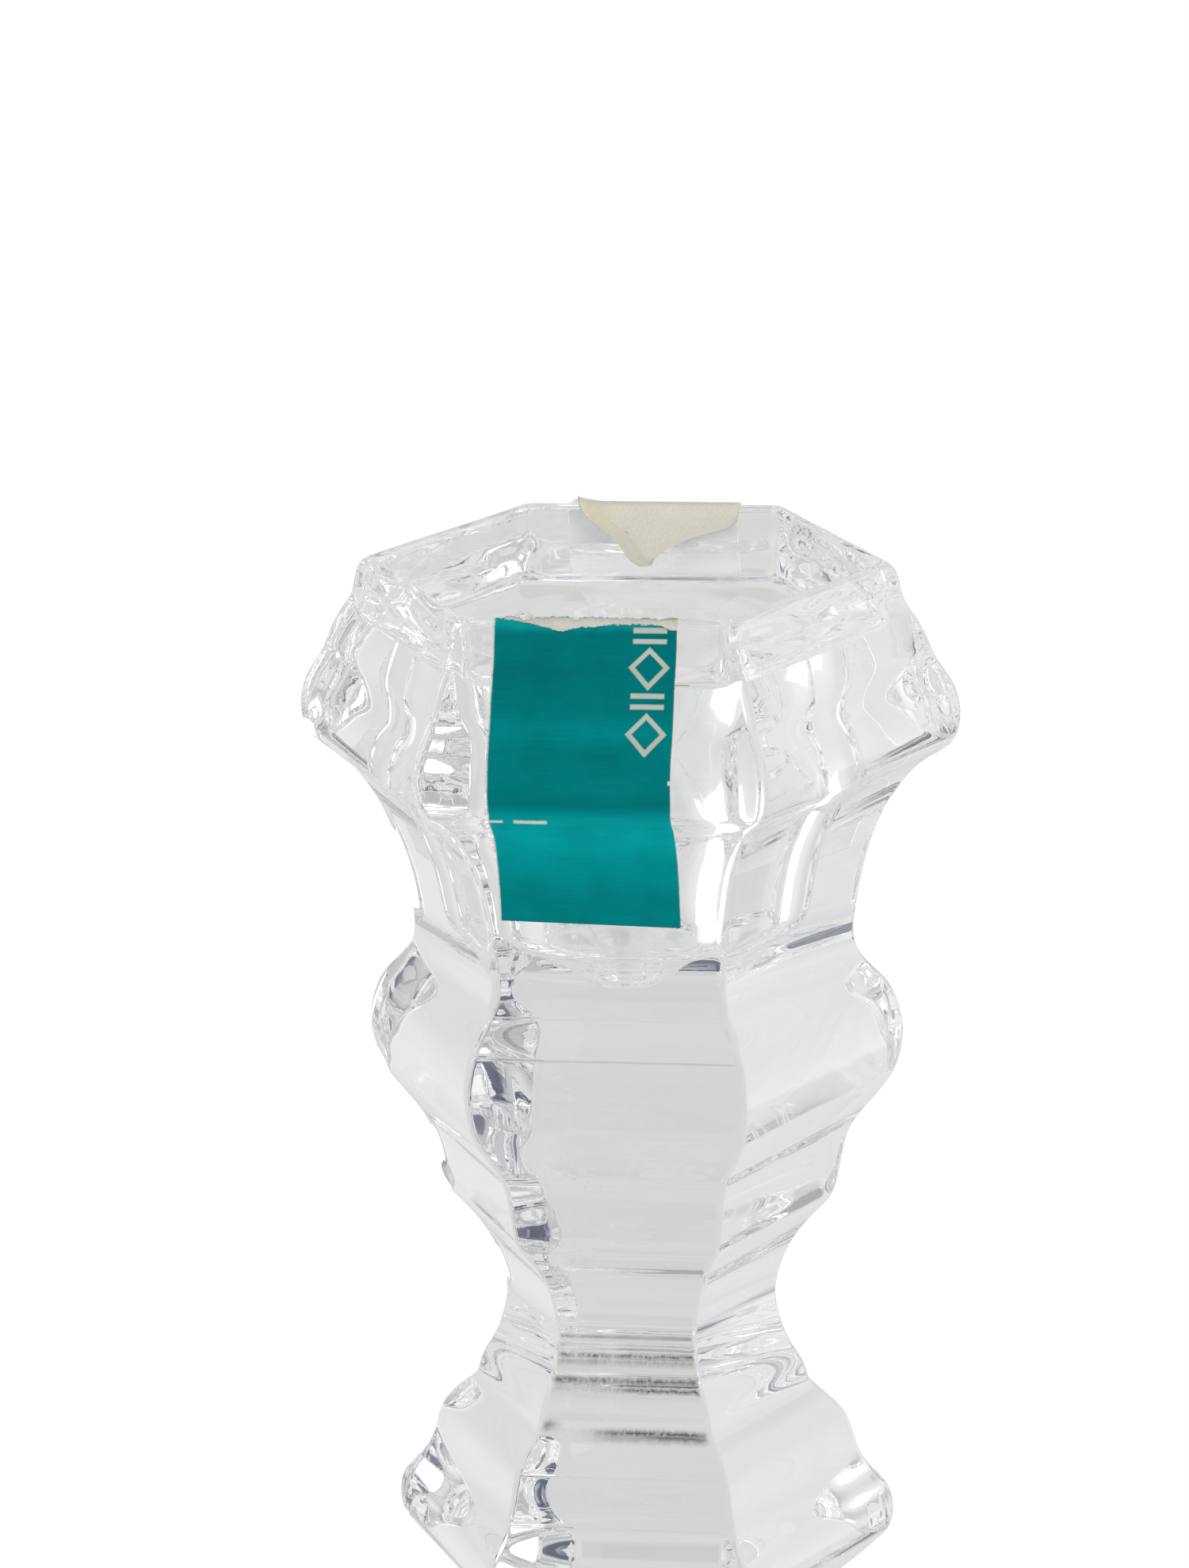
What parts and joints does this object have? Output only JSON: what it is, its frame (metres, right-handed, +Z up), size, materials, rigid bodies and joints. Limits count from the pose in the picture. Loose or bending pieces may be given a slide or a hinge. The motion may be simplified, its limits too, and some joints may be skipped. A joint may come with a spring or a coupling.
{
  "type": "glass candlestick",
  "caption": "Hexagonal baluster candlestick in clear pressed glass, with a round tapered candle socket, a spreading foot and the torn halves of a teal paper strip label.",
  "frame": {"origin": "centre of the foot's underside, on the plane the candlestick stands on", "axes": "+Z up along the candlestick's axis of symmetry; the facet with the front label faces -Y; two of the six corners lie on +X and -X"},
  "size_m": [0.095, 0.0822, 0.1907],
  "materials": {
    "clear_glass": "fire-polished pressed glass, clear and nearly colourless",
    "teal_paper": "printed uncoated label paper, off-white on the torn edges and the underside"
  },
  "bodies": {
    "root": {"glass_body": "clear_glass", "front_label": "teal_paper", "back_label": "teal_paper"}
  },
  "joints": []
}
